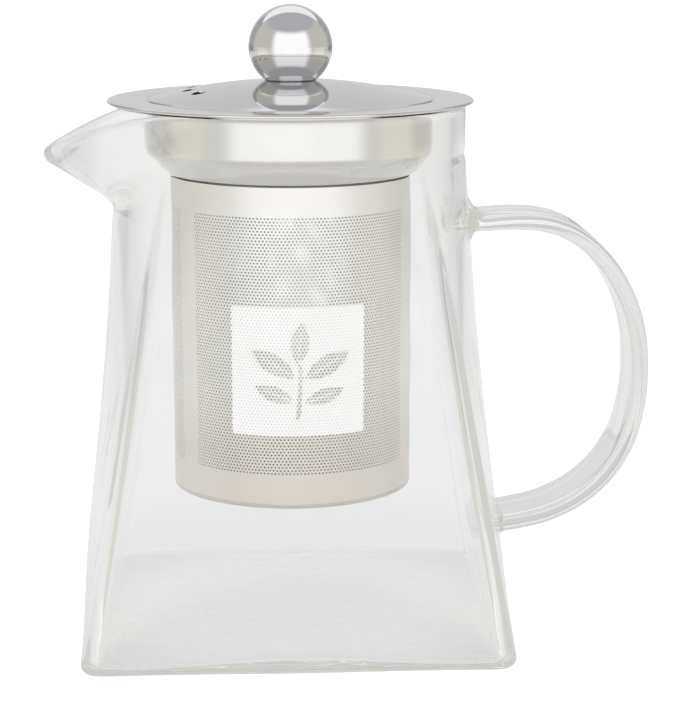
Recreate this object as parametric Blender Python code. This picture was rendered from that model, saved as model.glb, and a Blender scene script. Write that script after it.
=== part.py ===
"""Clear glass teapot with a lift-out steel infuser and a domed lid.

Metres, +Z up. The origin is the centre of the flat underside of the glass
base. The pouring lip points to -X and the handle to +X.
"""

import bpy
import bmesh
from math import acos, atan2, cos, degrees, hypot, pi, radians, sin, sqrt, tan
from mathutils import Vector

MM = 0.001

# ---------------------------------------------------------------- dimensions
GAP = 0.3                 # clearance between pieces that touch

# glass body (mm)
BODY_RIM_Z = 131.1        # top of the rim away from the lip
BODY_WALL = ((0, 2.4), (40, 3.1), (90, 3.4), (132, 3.6))           # height, wall
BODY_FLOOR = 2.8
BODY_FOOT_FILLET = 3.6
FOOT_CORNER = 0.45        # how much fuller the rounding of the foot is at its corners
BODY_FLOOR_FILLET = 1.2
RIM_ROUND = 1.4           # height of the rounding on top of the rim
RIM_ROUND_LIP = 0.75      # added to it at the tip of the lip
BODY_HALF = ((0, 52.4), (10, 52.5), (20, 52.0), (28, 51.3), (40, 49.95),
             (52, 48.6), (64, 47.4), (76, 46.35), (88, 45.4), (100, 44.65),
             (110, 43.9), (118, 43.3), (132, 43.2))               # height, half width
EDGE_FOOT = 51.5          # the corner edge at the foot, as a half width
EDGE_TOP = 118.0          # where the corner edge has run out into the round neck
EDGE_SOFT = 5.0           # rounding of the corner edge
MOUTH_R = 43.2

# pouring lip (mm, degrees)
LIP_TIP = 61.2            # reach of the tip from the axis
LIP_SHARP = 71.95         # reach of the tip before it is rounded
LIP_ROUND = 8.0           # rounding of the tip, as an angle
LIP_START_Z = 105.6       # where the lip leaves the wall
LIP_SLOPE = 0.575         # fall of the rim per reach
LIP_SAG = 1.9             # gentle sag of the rim around the lip
LIP_SAG_SPAN = 75.0
LIP_RISE = 2.0            # the drawn sides of the lip stand up again
LIP_RISE_SPAN = 52.0
LIP_EXTRA_WALL = 1.3

# handle (mm), centre line in X, Z
HANDLE_LINE = ((47.0, 101.5), (56.0, 101.9), (64.0, 101.0), (71.5, 97.7),
               (78.2, 91.4), (83.1, 83.6), (86.1, 75.0), (87.2, 65.5),
               (86.7, 55.5), (84.2, 45.6), (79.2, 37.3), (72.4, 31.2),
               (64.5, 27.3), (57.5, 25.5), (52.2, 24.7))
HANDLE_WIDE = 20.5
HANDLE_THICK = 4.3
HANDLE_THIN = 3.8         # thickness at the upper joint
HANDLE_EDGE = 1.6         # rounding of the edges of the strap
HANDLE_STATIONS = 30

# infuser (mm)
BRIM_R = 45.0
BRIM_TOP = 132.0
SHEET = 0.6
COLLAR_R = 35.3
COLLAR_BEND = 1.1         # inside radius of the bend below the brim
COLLAR_BASE = 119.2       # where the collar turns into the cone
CONE_R = 29.5
CONE_BASE = 113.6
NECK_R = 28.85
NECK_BASE = 108.4
SLEEVE_R = 29.5
SLEEVE_SHEET = 0.35
SLEEVE_TOP = CONE_BASE - GAP
BASKET_BASE = 35.2
BASKET_LIP = 0.9          # height of the plain edge of the bottom cap
BASKET_RISE = 4.0         # rim of the cap inside the sleeve

# lid (mm)
DOME_R = 34.75
DOME_EDGE_Z = 132.05
DOME_RISE = 4.5
DOME_SHEET = 0.6
VENT_R = 1.75
VENT_RING = 25.0          # the vents lie on a circle of this radius
VENT_TURNS = (-154.8, -174.8, -194.8)
SKIRT_R = 34.1
SKIRT_SHEET = 0.5
SKIRT_BASE = 124.0
SKIRT_FLANGE = 3.0

# knob (mm)
BALL_R = 10.35
BALL_Z = 144.6
BALL_SHEET = 0.7
BALL_CUT_Z = 136.95
INSERT_R = 5.2
INSERT_TOP = 142.6
SCREW_R = 1.9
SCREW_HEAD_R = 4.0
SCREW_HEAD = 2.2
SCREW_TIP = 142.0
SCREW_HOLE = 2.25
WASHER_R = 5.2
WASHER_THICK = 0.8

ROUND = 40                # segments of the turned pieces


# ------------------------------------------------------------------- helpers
def clear():
    for obj in list(bpy.data.objects):
        bpy.data.objects.remove(obj, do_unlink=True)


def material(name, colour, roughness, metallic, transmission=0.0):
    mat = bpy.data.materials.new(name)
    mat.use_nodes = True
    shader = mat.node_tree.nodes["Principled BSDF"]
    shader.inputs["Base Color"].default_value = (*colour, 1.0)
    shader.inputs["Roughness"].default_value = roughness
    shader.inputs["Metallic"].default_value = metallic
    shader.inputs["Transmission Weight"].default_value = transmission
    shader.inputs["IOR"].default_value = 1.47
    return mat


def finish(name, bm, mat, parent, smooth=35.0):
    """Makes the named object of a bmesh in mm, seated below its parent empty."""
    bmesh.ops.remove_doubles(bm, verts=bm.verts, dist=1e-4)
    bmesh.ops.recalc_face_normals(bm, faces=bm.faces)
    bmesh.ops.scale(bm, vec=(MM, MM, MM), verts=bm.verts)
    origin = parent.matrix_world.translation
    bmesh.ops.translate(bm, vec=-origin, verts=bm.verts)
    for face in bm.faces:
        face.smooth = True
    for edge in bm.edges:
        if len(edge.link_faces) == 2 and degrees(edge.calc_face_angle(0.0)) > smooth:
            edge.smooth = False
    mesh = bpy.data.meshes.new(name)
    bm.to_mesh(mesh)
    bm.free()
    mesh.materials.append(mat)
    obj = bpy.data.objects.new(name, mesh)
    bpy.context.scene.collection.objects.link(obj)
    obj.parent = parent
    return obj


def empty(name, z, parent=None):
    obj = bpy.data.objects.new(name, None)
    obj.empty_display_size = 0.02
    bpy.context.scene.collection.objects.link(obj)
    obj.parent = parent
    obj.location = (0.0, 0.0, z * MM - (parent.matrix_world.translation.z if parent else 0.0))
    bpy.context.view_layer.update()
    return obj


def turned(profile, segments=ROUND):
    """A closed (r, z) profile spun round the Z axis."""
    bm = bmesh.new()
    verts = [bm.verts.new((r, 0.0, z)) for r, z in profile]
    edges = [bm.edges.new((verts[i], verts[(i + 1) % len(verts)]))
             for i in range(len(verts))]
    bmesh.ops.spin(bm, geom=verts + edges, cent=(0, 0, 0), axis=(0, 0, 1),
                   angle=2 * pi, steps=segments, use_merge=True,
                   use_duplicate=False)
    bmesh.ops.remove_doubles(bm, verts=bm.verts, dist=1e-4)
    return bm


def arc(cx, cz, radius, start, end, count):
    """Points on an arc in the (r, z) plane, angles in degrees."""
    return [(cx + radius * cos(radians(start + (end - start) * i / count)),
             cz + radius * sin(radians(start + (end - start) * i / count)))
            for i in range(count + 1)]


def curve_at(table, x):
    """Smooth reading between the rows of a short table of dimensions."""
    n = len(table)
    if x <= table[0][0]:
        return table[0][1]
    if x >= table[-1][0]:
        return table[-1][1]
    i = max(k for k in range(n - 1) if table[k][0] <= x)

    def slope(k):
        if k == 0 or k == n - 1:
            a, b = (0, 1) if k == 0 else (n - 2, n - 1)
        else:
            a, b = k - 1, k + 1
        return (table[b][1] - table[a][1]) / (table[b][0] - table[a][0])

    x0, y0 = table[i]
    x1, y1 = table[i + 1]
    h = x1 - x0
    t = (x - x0) / h
    return ((2 * t**3 - 3 * t**2 + 1) * y0 + (t**3 - 2 * t**2 + t) * h * slope(i)
            + (3 * t**2 - 2 * t**3) * y1 + (t**3 - t**2) * h * slope(i + 1))


# ---------------------------------------------------------------- glass body
def section(z, angle, inset, soft):
    """Distance from the axis to the wall, inset from the outside: four bowed
    sides that meet in corner edges, which run from the square foot up to the
    round neck and are eased off by soft."""
    half = curve_at(BODY_HALF, z)
    up = min(z / EDGE_TOP, 1.0)
    edge = EDGE_FOOT + (MOUTH_R / sqrt(2) - EDGE_FOOT) * up
    fade = max(0.0, 1 - z / (EDGE_TOP - 6))
    edge = min(edge + EDGE_SOFT * fade / (4 * sqrt(2)), half - 0.05)
    soft = soft * fade
    bow = (edge**2 + (half - edge) ** 2) / (2 * (half - edge))

    def side(t):
        return (half - bow) * cos(t) + sqrt(max((bow - inset) ** 2 - ((half - bow) * sin(t)) ** 2, 0.0))

    fold = abs((angle + pi / 4) % (pi / 2) - pi / 4)
    a, b = side(fold), side(pi / 2 - fold)
    ease = max(soft - abs(a - b), 0.0) / soft if soft > 1e-6 else 0.0
    return min(a, b) - ease * ease * soft / 4


def lip_angle(angle):
    """Angle away from the pouring direction, -X."""
    return abs(atan2(sin(angle), -cos(angle)))


def lip_reach(angle):
    """Distance of the rim from the axis: a circle with a drawn-out lip."""
    spread = acos(MOUTH_R / LIP_SHARP)
    d = hypot(lip_angle(angle), radians(LIP_ROUND))
    return MOUTH_R / cos(spread - d) if d < spread else MOUTH_R


def rim_height(angle):
    sag = min(1.0, degrees(lip_angle(angle)) / LIP_SAG_SPAN)
    return (BODY_RIM_Z - LIP_SLOPE * (lip_reach(angle) - MOUTH_R)
            - LIP_SAG * cos(pi / 2 * sag) ** 2
            + LIP_RISE * max(0.0, 1 - (degrees(lip_angle(angle)) / LIP_RISE_SPAN) ** 2) ** 1.5)


def rim_round(angle):
    """Height of the rounding of the rim, fuller at the lip."""
    return RIM_ROUND + RIM_ROUND_LIP * (lip_reach(angle) - MOUTH_R) / (LIP_TIP - MOUTH_R)


def lip_share(z, start, end, blunt):
    """How much of the lip's reach is drawn out at a height: a bend, a straight, and a blunt end."""
    t = (z - start) / (end - start)
    if t <= 0:
        return 0.0
    soft = 0.12
    share = (sqrt(t * t + soft * soft) - soft) / (sqrt(1 + soft * soft) - soft) * (1 + blunt)
    near = min(1.0, max(0.0, 0.5 + 0.5 * (1 - share) / blunt))
    return 1 - near + near * share - blunt * near * (1 - near)


def outer_radius(z, angle):
    base = section(z, angle, 0.0, EDGE_SOFT)
    if z < BODY_FOOT_FILLET:
        fillet = BODY_FOOT_FILLET - sqrt(BODY_FOOT_FILLET**2 - (BODY_FOOT_FILLET - z)**2)
        base -= fillet * (1 + FOOT_CORNER * (0.5 - 0.5 * cos(4 * angle)))
    grow = lip_reach(angle) - MOUTH_R
    return base + grow * lip_share(z, LIP_START_Z, rim_height(angle) - rim_round(angle), 0.14)


def inner_radius(z, angle):
    base = section(z, angle, curve_at(BODY_WALL, z), EDGE_SOFT * 1.5)
    rise = z - BODY_FLOOR
    if rise < BODY_FLOOR_FILLET:
        base -= BODY_FLOOR_FILLET - sqrt(BODY_FLOOR_FILLET**2 - (BODY_FLOOR_FILLET - rise)**2)
    grow = lip_reach(angle) - MOUTH_R
    grow -= LIP_EXTRA_WALL * grow / (LIP_TIP - MOUTH_R)
    return base + grow * lip_share(z, LIP_START_Z + 0.4, rim_height(angle) - rim_round(angle), 0.05)


def body_angles(count):
    """Directions round the body, closer together at the corners and the lip."""
    fine = 2880

    def weight(angle):
        corner = abs((degrees(angle) + 45.0) % 90.0 - 45.0)      # 45 at a corner
        lip = degrees(lip_angle(angle))
        return 1.0 + 4.0 * max(0.0, 1 - (45.0 - corner) / 9.0) + 3.0 * max(0.0, 1 - lip / 24.0)

    total = 0.0
    sums = []
    for i in range(fine):
        total += weight(2 * pi * (i + 0.5) / fine)
        sums.append(total)
    angles = []
    k = 0
    for j in range(count):
        want = total * j / count
        while k < fine and sums[k] < want:
            k += 1
        angles.append(2 * pi * k / fine)
    return angles


def make_body(mat, parent, count=80):
    angles = body_angles(count)
    rings = []
    for z in (0.0, 0.25, 0.9, 2.0, 3.6, 12, 22, 34, 48, 62, 76, 88, 98, 104):
        rings.append([(outer_radius(z, a), z) for a in angles])
    for t in (0.22, 0.45, 0.7, 0.9, 1.0):
        rings.append([(outer_radius(104 + t * (rim_height(a) - rim_round(a) - 104), a),
                       104 + t * (rim_height(a) - rim_round(a) - 104)) for a in angles])
    for turn in (30, 60, 90, 120, 150):
        ring = []
        for a in angles:
            z = rim_height(a) - rim_round(a)
            out, inn = outer_radius(z, a), inner_radius(z, a)
            ring.append(((out + inn) / 2 + (out - inn) / 2 * cos(radians(turn)),
                         z + rim_round(a) * sin(radians(turn))))
        rings.append(ring)
    for t in (1.0, 0.7, 0.45, 0.22):
        rings.append([(inner_radius(104 + t * (rim_height(a) - rim_round(a) - 104), a),
                       104 + t * (rim_height(a) - rim_round(a) - 104)) for a in angles])
    low = BODY_FLOOR
    for z in (104, 98, 88, 76, 62, 48, 34, 22, 12, low + 1.2, low + 0.35, low):
        rings.append([(inner_radius(z, a), z) for a in angles])
    bm = bmesh.new()
    loops = []
    for ring in rings:
        verts = [bm.verts.new((r * cos(a), r * sin(a), z))
                 for (r, z), a in zip(ring, angles)]
        loops.append([bm.edges.new((verts[i], verts[(i + 1) % count]))
                      for i in range(count)])
        if ring is rings[0] or ring is rings[-1]:
            bm.faces.new(verts)
    for below, above in zip(loops, loops[1:]):
        bmesh.ops.bridge_loops(bm, edges=below + above)
    return finish("glass_body", bm, mat, parent)


# -------------------------------------------------------------------- handle
def line_at(points, t):
    """A smooth line through a few points, t from 0 to 1."""
    spans = len(points) - 1
    i = min(int(t * spans), spans - 1)
    u = t * spans - i
    p = [Vector(points[min(max(i + k, 0), spans)]) for k in (-1, 0, 1, 2)]
    return 0.5 * (2 * p[1] + (p[2] - p[0]) * u
                  + (2 * p[0] - 5 * p[1] + 4 * p[2] - p[3]) * u * u
                  + (3 * p[1] - p[0] - 3 * p[2] + p[3]) * u**3)


def wall_x(y, z):
    """X of the outside of the body on the handle side, at one Y and Z."""
    x = 45.0
    for _ in range(12):
        a = atan2(y, x)
        x = sqrt(max(outer_radius(z, a) ** 2 - y * y, 1.0))
    return x


def make_handle(mat, parent):
    bm = bmesh.new()
    loops = []
    ends = []
    # one turn round the rounded strap: side of the width, of the thickness, and the rounding
    section_turn = []
    for way_y, way_n, start in ((1, 1, 0), (-1, 1, 90), (-1, -1, 180), (1, -1, 270)):
        for k in range(3):
            a = radians(start + 45 * k)
            section_turn.append((way_y, way_n, cos(a), sin(a)))
        if way_y * way_n > 0:
            section_turn += [(way_y * f, way_n, 0.0, way_n) for f in (0.5, 0.0, -0.5)]
    sides = len(section_turn)
    for k in range(HANDLE_STATIONS + 1):
        t = k / HANDLE_STATIONS
        p = line_at(HANDLE_LINE, t)
        d = (line_at(HANDLE_LINE, min(t + 0.004, 1)) - line_at(HANDLE_LINE, max(t - 0.004, 0))).normalized()
        normal = Vector((-d.y, d.x))
        thin = max(0.0, 1 - t * 8.5)
        thick = HANDLE_THICK + (HANDLE_THIN - HANDLE_THICK) * thin * thin * (3 - 2 * thin)
        verts = []
        for way_y, way_n, round_y, round_n in section_turn:
            y = way_y * (HANDLE_WIDE / 2 - HANDLE_EDGE) + round_y * HANDLE_EDGE
            n = way_n * (thick / 2 - HANDLE_EDGE) + round_n * HANDLE_EDGE
            x, z = p.x + normal.x * n, p.y + normal.y * n
            if k in (0, HANDLE_STATIONS):
                x = wall_x(y, z) + GAP
            verts.append(bm.verts.new((x, y, z)))
        loops.append([bm.edges.new((verts[i], verts[(i + 1) % sides]))
                      for i in range(sides)])
        if k in (0, HANDLE_STATIONS):
            ends.append(bm.faces.new(verts))
    for below, above in zip(loops, loops[1:]):
        bmesh.ops.bridge_loops(bm, edges=below + above)
    bmesh.ops.triangulate(bm, faces=ends)
    return finish("glass_handle", bm, mat, parent)


# ------------------------------------------------------------------- infuser
def make_collar(mat, parent):
    under = BRIM_TOP - SHEET
    inner = COLLAR_R - SHEET
    bend = COLLAR_BEND
    cone = atan2(COLLAR_R - CONE_R, COLLAR_BASE - CONE_BASE)
    shift = SHEET * tan(cone / 2)
    profile = [(BRIM_R - 0.15, under), (BRIM_R, under + 0.15), (BRIM_R, BRIM_TOP - 0.15), (BRIM_R - 0.15, BRIM_TOP)]
    profile += arc(inner + bend + SHEET, BRIM_TOP - bend - SHEET, bend + SHEET, 90, 180, 4)
    profile += [(inner, COLLAR_BASE + 1.2 + shift), (inner - 0.28, COLLAR_BASE - 0.05 + shift),
                (CONE_R - SHEET - 0.15, CONE_BASE + shift + 0.2), (NECK_R - SHEET, CONE_BASE - 0.5),
                (NECK_R - SHEET, NECK_BASE), (NECK_R, NECK_BASE), (NECK_R, CONE_BASE),
                (CONE_R, CONE_BASE), (COLLAR_R - 0.28, COLLAR_BASE - 0.1), (COLLAR_R, COLLAR_BASE + 1.2)]
    profile += arc(COLLAR_R + bend, under - bend, bend, 180, 90, 3)
    return finish("infuser_collar", turned(profile), mat, parent)


def make_sleeve(mat, parent):
    low = BASKET_BASE + BASKET_LIP + GAP
    profile = [(SLEEVE_R, low), (SLEEVE_R, SLEEVE_TOP),
               (SLEEVE_R - SLEEVE_SHEET, SLEEVE_TOP), (SLEEVE_R - SLEEVE_SHEET, low)]
    return finish("infuser_sleeve", turned(profile), mat, parent)


def make_bottom(mat, parent):
    low = BASKET_BASE
    rim = SLEEVE_R - SLEEVE_SHEET - GAP
    edge = SLEEVE_R
    profile = [(0.0, low), (edge - 0.6, low)]
    profile += arc(edge - 0.6, low + 0.6, 0.6, -60, 0, 2)
    profile += [(edge, low + BASKET_LIP), (rim, low + BASKET_LIP), (rim, low + BASKET_RISE),
                (rim - 0.5, low + BASKET_RISE), (rim - 0.5, low + 1.1), (rim - 1.1, low + 0.5),
                (0.0, low + 0.5)]
    return finish("infuser_bottom", turned_disc(profile), mat, parent)


def turned_disc(profile, segments=ROUND):
    """An open (r, z) profile that starts and ends on the axis, spun round Z."""
    bm = bmesh.new()
    verts = [bm.verts.new((r, 0.0, z)) for r, z in profile]
    edges = [bm.edges.new((a, b)) for a, b in zip(verts, verts[1:])]
    bmesh.ops.spin(bm, geom=verts + edges, cent=(0, 0, 0), axis=(0, 0, 1),
                   angle=2 * pi, steps=segments, use_merge=True,
                   use_duplicate=False)
    bmesh.ops.remove_doubles(bm, verts=bm.verts, dist=1e-4)
    return bm


# ----------------------------------------------------------------------- lid
def dome_z(r):
    return DOME_EDGE_Z + DOME_RISE * (1 - (r / DOME_R) ** 2)


def make_dome(mat, parent):
    radii = [DOME_R, 31.0, 26.5, 21.0, 15.0, 9.0, SCREW_HOLE]
    profile = [(DOME_R, DOME_EDGE_Z - DOME_SHEET)] + [(r, dome_z(r)) for r in radii]
    profile += [(r, dome_z(r) - DOME_SHEET) for r in reversed(radii[1:])]
    dome = finish("lid_dome", turned(profile), mat, parent)
    for i, turn in enumerate(VENT_TURNS):
        x, y = VENT_RING * cos(radians(turn)), VENT_RING * sin(radians(turn))
        bm = bmesh.new()
        bmesh.ops.create_cone(bm, cap_ends=True, segments=12, radius1=VENT_R * MM,
                              radius2=VENT_R * MM, depth=8 * MM)
        mesh = bpy.data.meshes.new(f"vent_cutter_{i}")
        bm.to_mesh(mesh)
        bm.free()
        cutter = bpy.data.objects.new(f"vent_cutter_{i}", mesh)
        bpy.context.scene.collection.objects.link(cutter)
        cutter.parent = parent
        cutter.location = (x * MM, y * MM, dome_z(hypot(x, y)) * MM - parent.matrix_world.translation.z)
        cutter.hide_render = True
        cutter.display_type = "WIRE"
        cut = dome.modifiers.new(f"vent_{i}", "BOOLEAN")
        cut.operation = "DIFFERENCE"
        cut.solver = "EXACT"
        cut.object = cutter
    return dome


def make_skirt(mat, parent):
    top = dome_z(SKIRT_R) - DOME_SHEET - GAP
    inner = SKIRT_R - SKIRT_FLANGE
    flange = dome_z(inner) - DOME_SHEET - GAP
    profile = [(SKIRT_R, SKIRT_BASE), (SKIRT_R, top), (inner, flange),
               (inner, flange - SKIRT_SHEET), (SKIRT_R - SKIRT_SHEET, top - SKIRT_SHEET),
               (SKIRT_R - SKIRT_SHEET, SKIRT_BASE)]
    return finish("lid_skirt", turned(profile), mat, parent)


def make_ball(mat, parent):
    inside = BALL_R - BALL_SHEET
    low = BALL_CUT_Z - BALL_Z
    out_angle = degrees(atan2(low, sqrt(BALL_R**2 - low**2)))
    in_angle = degrees(atan2(low, sqrt(inside**2 - low**2)))
    profile = arc(0, BALL_Z, BALL_R, 90, out_angle, 12)
    profile += arc(0, BALL_Z, inside, in_angle, 90, 8)
    profile[0] = (0.0, BALL_Z + BALL_R)
    profile[-1] = (0.0, BALL_Z + inside)
    return finish("knob_ball", turned_disc(profile, 28), mat, parent)


def make_insert(mat, parent):
    profile = [(INSERT_R, BALL_CUT_Z), (INSERT_R, INSERT_TOP - 1.0), (INSERT_R - 1.0, INSERT_TOP),
               (SCREW_HOLE, INSERT_TOP), (SCREW_HOLE, BALL_CUT_Z)]
    return finish("knob_insert", turned(profile, 24), mat, parent)


def make_washer(mat, parent):
    top = dome_z(WASHER_R) - DOME_SHEET - GAP
    profile = [(WASHER_R, top - WASHER_THICK), (WASHER_R, top), (SCREW_HOLE, top),
               (SCREW_HOLE, top - WASHER_THICK)]
    return finish("knob_washer", turned(profile, 24), mat, parent)


def make_screw(mat, parent):
    head = dome_z(WASHER_R) - DOME_SHEET - GAP - WASHER_THICK - GAP
    profile = [(0.0, head - SCREW_HEAD + 0.7), (1.3, head - SCREW_HEAD + 0.7), (1.6, head - SCREW_HEAD),
               (SCREW_HEAD_R - 0.8, head - SCREW_HEAD), (SCREW_HEAD_R, head - SCREW_HEAD + 0.8),
               (SCREW_HEAD_R, head), (SCREW_R, head), (SCREW_R, SCREW_TIP - 0.5),
               (SCREW_R - 0.5, SCREW_TIP), (0.0, SCREW_TIP)]
    return finish("knob_screw", turned_disc(profile, 20), mat, parent)


# --------------------------------------------------------------------- build
clear()
glass = material("clear_glass", (0.93, 0.95, 0.94), 0.02, 0.0, 1.0)
handle_glass = material("clear_handle_glass", (0.93, 0.95, 0.94), 0.02, 0.0, 1.0)
satin = material("satin_steel", (0.66, 0.65, 0.63), 0.32, 1.0)
sheet = material("perforated_steel", (0.62, 0.60, 0.57), 0.38, 1.0)
cap = material("pressed_steel", (0.64, 0.63, 0.61), 0.34, 1.0)
polish = material("polished_steel", (0.72, 0.72, 0.72), 0.08, 1.0)
mirror = material("mirror_steel", (0.76, 0.76, 0.77), 0.04, 1.0)
screw_steel = material("screw_steel", (0.55, 0.55, 0.56), 0.30, 1.0)

pot = empty("pot", 0.0)
infuser = empty("infuser", BRIM_TOP, pot)
lid = empty("lid", BRIM_TOP, infuser)

make_body(glass, pot)
make_handle(handle_glass, pot)
make_collar(satin, infuser)
make_sleeve(sheet, infuser)
make_bottom(cap, infuser)
make_dome(polish, lid)
make_skirt(satin, lid)
make_ball(mirror, lid)
make_insert(screw_steel, lid)
make_washer(screw_steel, lid)
make_screw(screw_steel, lid)
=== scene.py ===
from math import acos, atan2, cos, degrees, hypot, pi, radians, sin, sqrt

import bmesh
import bpy
import numpy as np
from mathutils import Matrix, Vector


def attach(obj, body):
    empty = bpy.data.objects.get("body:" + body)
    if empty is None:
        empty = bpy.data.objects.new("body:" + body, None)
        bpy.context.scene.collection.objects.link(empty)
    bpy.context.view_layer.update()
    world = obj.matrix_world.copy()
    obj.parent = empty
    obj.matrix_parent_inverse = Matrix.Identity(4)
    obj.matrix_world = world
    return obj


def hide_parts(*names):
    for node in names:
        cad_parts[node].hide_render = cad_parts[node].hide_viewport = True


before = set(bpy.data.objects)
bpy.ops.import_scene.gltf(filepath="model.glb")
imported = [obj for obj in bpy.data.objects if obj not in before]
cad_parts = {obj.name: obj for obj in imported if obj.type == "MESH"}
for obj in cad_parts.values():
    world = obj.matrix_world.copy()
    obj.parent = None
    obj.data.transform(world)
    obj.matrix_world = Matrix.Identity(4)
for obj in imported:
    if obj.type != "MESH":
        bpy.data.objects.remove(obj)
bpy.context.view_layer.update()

MM = 0.001
rng = np.random.default_rng(7)

# ------------------------------------------------------------------ dimensions (mm)
BODY_RIM_Z, BODY_FLOOR, BODY_FOOT_FILLET, FLOOR_FILLET, RIM_ROUND = 131.1, 2.8, 3.6, 1.2, 1.4
BODY_HALF = ((0, 52.4), (10, 52.5), (20, 52.0), (28, 51.3), (40, 49.95), (52, 48.6), (64, 47.4),
             (76, 46.35), (88, 45.4), (100, 44.65), (110, 43.9), (118, 43.3), (132, 43.2))
BODY_WALL = ((0, 2.4), (40, 3.1), (90, 3.4), (132, 3.6))
# the corner edge runs straight from the foot to the round neck
EDGE_FOOT, EDGE_TOP, EDGE_SOFT = 51.5, 118.0, 5.0
MOUTH_R = 43.2
LIP_TIP, LIP_SHARP, LIP_ROUND, LIP_START_Z = 61.2, 71.95, 8.0, 105.6
LIP_SLOPE, LIP_SAG, LIP_SAG_SPAN, LIP_EXTRA_WALL = 0.575, 1.9, 75.0, 1.3
LIP_RISE, LIP_RISE_SPAN = 2.0, 52.0
HANDLE_LINE = ((47.0, 101.5), (56.0, 101.9), (64.0, 101.0), (71.5, 97.7),
               (78.2, 91.4), (83.1, 83.6), (86.1, 75.0), (87.2, 65.5),
               (86.7, 55.5), (84.2, 45.6), (79.2, 37.3), (72.4, 31.2),
               (64.5, 27.3), (57.5, 25.5), (52.0, 24.7))
HANDLE_WIDE, HANDLE_THICK, HANDLE_THIN = 20.5, 4.3, 3.8

BRIM_R, BRIM_TOP, SHEET = 45.2, 132.0, 0.6
COLLAR_R, COLLAR_BASE, CONE_R, CONE_BASE = 35.3, 119.2, 29.5, 113.6
NECK_R, NECK_BASE = 28.85, 108.4
SLEEVE_R, SLEEVE_SHEET, SLEEVE_TOP, SLEEVE_LOW = 29.5, 0.35, 113.45, 36.4
BASKET_BASE = 35.2
DOME_R, DOME_EDGE_Z, DOME_RISE, DOME_SHEET = 34.85, 132.0, 4.55, 0.6
SEAT_R = 43.55
VENT_R, VENT_RING, VENT_TURNS = 1.75, 25.0, (-154.8, -174.8, -194.8)
SKIRT_R, SKIRT_BASE = 34.1, 124.0
BALL_R, BALL_Z, BALL_SHEET, BALL_FOOT = 10.35, 144.6, 0.7, 136.45

# perforation of the sleeve
HOLE_PITCH, ROW_PITCH, HOLE_R = 0.884, 0.766, 0.232
PERF_LOW, PERF_HIGH = 43.6, 106.4
# angle of each perforated panel, from the front towards the handle, and the seams between them
PANELS = ((-53.8, 62.7), (74.4, 190.9), (202.6, 294.5))


# the printed square on the sleeve: centre angle, half width and height (mm), and its leaves in
# shares of that half size: centre, angle, half length, half width
PRINT_TURN, PRINT_Z, PRINT_WIDE, PRINT_HIGH = radians(1.4), 69.0, 16.75, 15.75
LEAVES = ((0.02, 0.45, 84, 0.33, 0.135), (-0.37, 0.13, 146, 0.38, 0.15), (0.41, 0.10, 32, 0.38, 0.15),
          (-0.35, -0.34, 158, 0.31, 0.12), (0.37, -0.38, 20, 0.31, 0.12))
INKED_HOLE_R = 0.12

# radiance of the studio floor, what the lit part in front of the object adds, and of the softbox
FLOOR_GLOW, POOL_GLOW, BOX_GLOW = 0.675, 0.45, 1.34


# ------------------------------------------------------------------ mesh helpers
def add_object(name, mesh, body, mats, replaces=()):
    for m in mats:
        mesh.materials.append(m)
    obj = bpy.data.objects.new(name, mesh)
    bpy.context.scene.collection.objects.link(obj)
    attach(obj, body)
    if replaces:
        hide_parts(*replaces)
    return obj


def to_mesh(name, verts, faces, sharp=40.0):
    mesh = bpy.data.meshes.new(name)
    mesh.from_pydata((np.asarray(verts, float) * MM).tolist(), [], faces)
    mesh.validate()
    bm = bmesh.new()
    bm.from_mesh(mesh)
    bmesh.ops.recalc_face_normals(bm, faces=bm.faces)
    bm.to_mesh(mesh)
    bm.free()
    mesh.shade_smooth()
    mesh.set_sharp_from_angle(angle=radians(sharp))
    return mesh


def rounded(points, closed, step=0.0):
    """A polyline of (r, z, fillet) turned into points with true arcs at its corners."""
    out = []
    n = len(points)
    for i, (r, z, fil) in enumerate(points):
        p = Vector((r, z))
        if fil <= 0 or (not closed and i in (0, n - 1)):
            out.append((r, z))
            continue
        a = Vector(points[(i - 1) % n][:2]) - p
        b = Vector(points[(i + 1) % n][:2]) - p
        la, lb = a.length, b.length
        a.normalize()
        b.normalize()
        half = acos(max(-1.0, min(1.0, a.dot(b)))) / 2
        if half > pi / 2 - 1e-4:
            out.append((r, z))
            continue
        reach = min(fil / np.tan(half), 0.49 * la if i not in (1,) else 0.98 * la, 0.49 * lb)
        fil = reach * np.tan(half)
        centre = p + (a + b).normalized() * (fil / sin(half))
        start, end = p + a * reach - centre, p + b * reach - centre
        sweep = start.angle_signed(end)
        count = max(3, int(abs(degrees(sweep)) / 9))
        for k in range(count + 1):
            t = -sweep * k / count
            out.append((centre.x + start.x * cos(t) - start.y * sin(t),
                        centre.y + start.x * sin(t) + start.y * cos(t)))
    return out


def sheet_profile(line, thick):
    """The outline of a bent sheet: its centre line offset both ways, with round edges."""
    pts = [Vector(p) for p in line]
    clean = [pts[0]]
    for p in pts[1:]:
        if (p - clean[-1]).length > 1e-4:
            clean.append(p)
    pts = clean
    left, right = [], []
    for i, p in enumerate(pts):
        d0 = (p - pts[i - 1]).normalized() if i else None
        d1 = (pts[i + 1] - p).normalized() if i < len(pts) - 1 else None
        d = ((d0 or d1) + (d1 or d0)).normalized()
        n = Vector((-d.y, d.x))
        grow = 1.0
        if d0 and d1:
            grow = 1.0 / max(0.5, n.dot(Vector((-d1.y, d1.x))))
        left.append(p + n * thick / 2 * grow)
        right.append(p - n * thick / 2 * grow)

    def cap(p, d):
        n = Vector((-d.y, d.x))
        return [p + (n * cos(a) + d * sin(a)) * thick / 2
                for a in (radians(x) for x in (30, 60, 90, 120, 150))]

    first = (pts[0] - pts[1]).normalized()
    last = (pts[-1] - pts[-2]).normalized()
    return [tuple(p) for p in left + cap(pts[-1], last) + right[::-1] + cap(pts[0], first)]


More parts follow.
